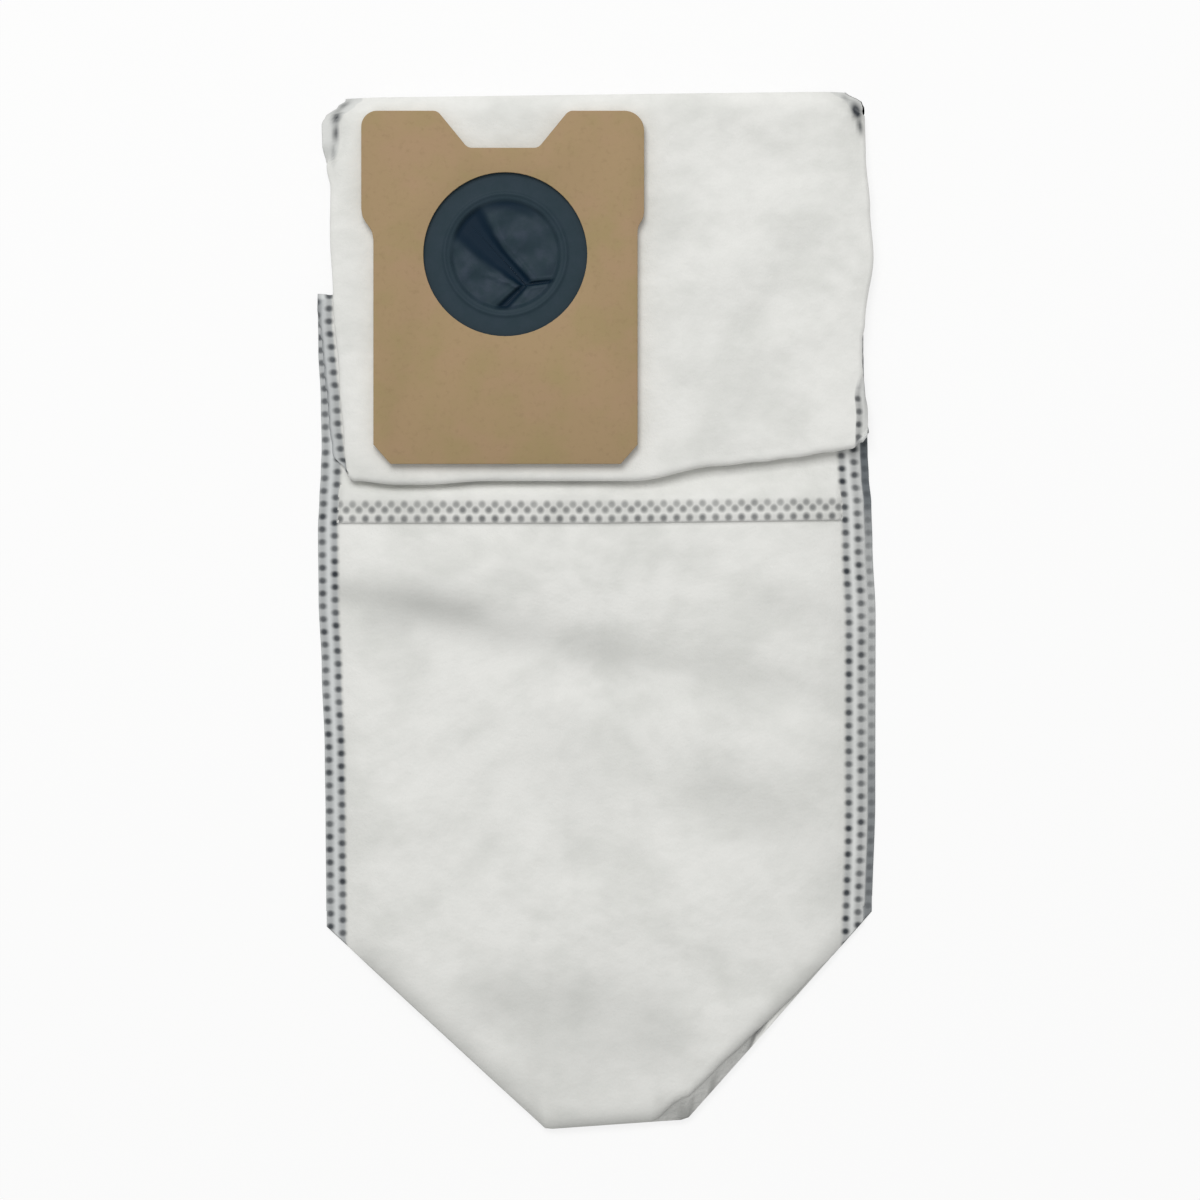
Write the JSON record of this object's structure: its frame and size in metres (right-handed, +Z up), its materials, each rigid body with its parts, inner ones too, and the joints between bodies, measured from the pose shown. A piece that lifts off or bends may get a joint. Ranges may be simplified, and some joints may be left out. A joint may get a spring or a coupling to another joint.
{
  "type": "vacuum dust bag",
  "caption": "Flat-folded fleece vacuum dust bag with dotted weld seams, tucked bottom corners, keyed card collar and slit rubber inlet seal",
  "frame": {"origin": "on the floor below the middle of the bag as it lies flat", "axes": "+X across the bag to the right, +Y along it to the collar end, +Z up out of the collar's front face"},
  "size_m": [0.1984, 0.3678, 0.0136],
  "materials": {
    "fleece": "off-white needled filter fleece, soft and matt",
    "card": "plain brown kraft board, matt, fine fibres",
    "seal_rubber": "blue-black moulded rubber, satin"
  },
  "bodies": {
    "root": {"fleece_bag": "fleece", "collar_rear_card": "card", "seal_membrane": "seal_rubber", "collar_front_card": "card"}
  },
  "joints": []
}
